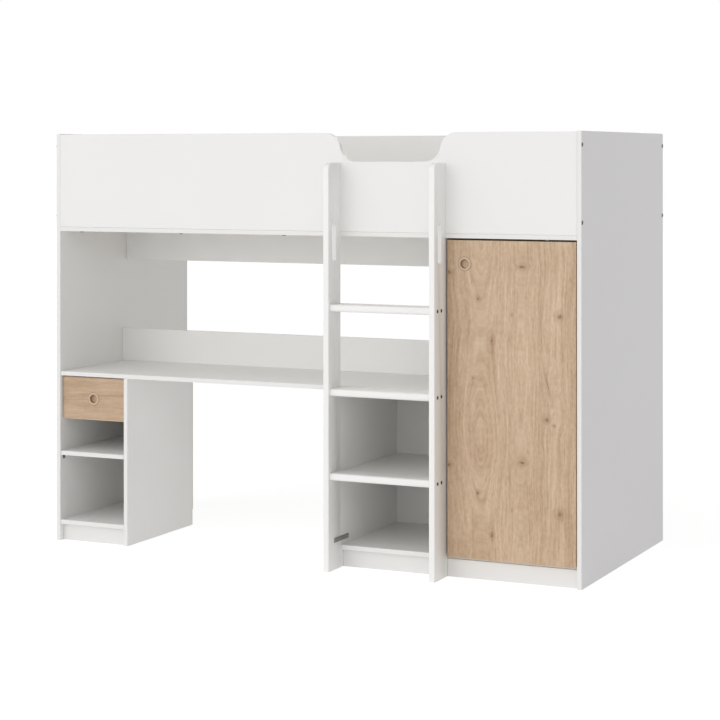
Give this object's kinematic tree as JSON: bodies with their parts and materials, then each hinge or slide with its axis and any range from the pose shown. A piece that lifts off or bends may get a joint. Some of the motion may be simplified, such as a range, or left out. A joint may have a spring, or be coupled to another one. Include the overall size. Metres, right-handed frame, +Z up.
{
  "type": "high sleeper bed",
  "caption": "High sleeper bed over a desk, drawer pedestal, open bookcase and wardrobe, with a fixed front ladder; the drawer slides out and the wardrobe door swings open.",
  "frame": {"origin": "on the floor, at the middle of the box round the bed and its ladder", "axes": "+X along the bed towards the wardrobe end, +Y from the ladder to the wall side, +Z up"},
  "size_m": [2.064, 1.044, 1.52],
  "materials": {
    "white_board": "white melamine, satin",
    "white_lacquer": "white lacquer, satin",
    "thin_board": "white printed fibreboard",
    "oak_board": "oak pattern, matt",
    "slat_timber": "planed softwood",
    "dark_steel": "dark, satin",
    "bright_steel": "zinc plated",
    "rail_chrome": "bright",
    "dark_plastic": "matt",
    "white_plastic": "matt",
    "grip_plastic": "oak coloured",
    "bumper_rubber": "clear soft",
    "ribbon_cloth": "woven tape"
  },
  "bodies": {
    "bed": {"bed_slats": "slat_timber", "bookcase_back": "thin_board", "bookcase_bottom": "white_board", "bookcase_plinth": "white_board", "bookcase_shelf": "white_board", "bookcase_side": "white_board", "desk_top": "white_board", "desk_upstand": "white_board", "door_bumpers": "bumper_rubber", "drawer_runners": "white_plastic", "front_guard": "white_board", "front_ledge": "white_board", "guard_bolt_nuts": "bright_steel", "guard_bolts": "dark_steel", "hanging_rail": "rail_chrome", "hinge_arms": "bright_steel", "hinge_plates": "bright_steel", "joint_dowels": "slat_timber", "ladder_bolts": "bright_steel", "ladder_step_1": "white_lacquer", "ladder_step_2": "white_lacquer", "ladder_step_3": "white_lacquer", "ladder_step_screws": "dark_steel", "ladder_stile_left": "white_lacquer", "ladder_stile_right": "white_lacquer", "ledge_screws": "bright_steel", "left_end_panel": "white_board", "link_plate_left": "dark_steel", "link_plate_right": "dark_steel", "middle_rail": "white_board", "pedestal_back": "thin_board", "pedestal_bottom": "white_board", "pedestal_plinth": "white_board", "pedestal_shelf": "white_board", "pedestal_side": "white_board", "rail_sockets": "white_plastic", "rear_guard": "white_board", "rear_ledge": "white_board", "right_end_panel": "white_board", "shelf_pins": "dark_plastic", "slat_ribbons": "ribbon_cloth", "small_screws": "dark_steel", "wardrobe_back": "thin_board", "wardrobe_bottom": "white_board", "wardrobe_plinth": "white_board", "wardrobe_rail": "white_board", "wardrobe_side": "white_board", "wardrobe_top": "white_board"},
    "drawer": {"drawer_front": "oak_board", "drawer_side_left": "white_board", "drawer_side_right": "white_board", "drawer_back": "white_board", "drawer_bottom": "thin_board", "drawer_grip": "grip_plastic", "drawer_dowels": "slat_timber"},
    "door": {"wardrobe_door": "oak_board", "door_grip": "grip_plastic", "hinge_cups": "bright_steel", "hinge_pins": "bright_steel", "hinge_cup_screws": "bright_steel"}
  },
  "joints": [
    {"name": "drawer_slide", "type": "slide", "parent": "bed", "child": "drawer", "axis": [0, -1, 0], "range_m": [0, 0.33]},
    {"name": "door_hinge", "type": "hinge", "parent": "bed", "child": "door", "pos_m": [0.999, -0.417, 0.6105], "axis": [0, 0, 1], "range_deg": [0, 95]}
  ]
}
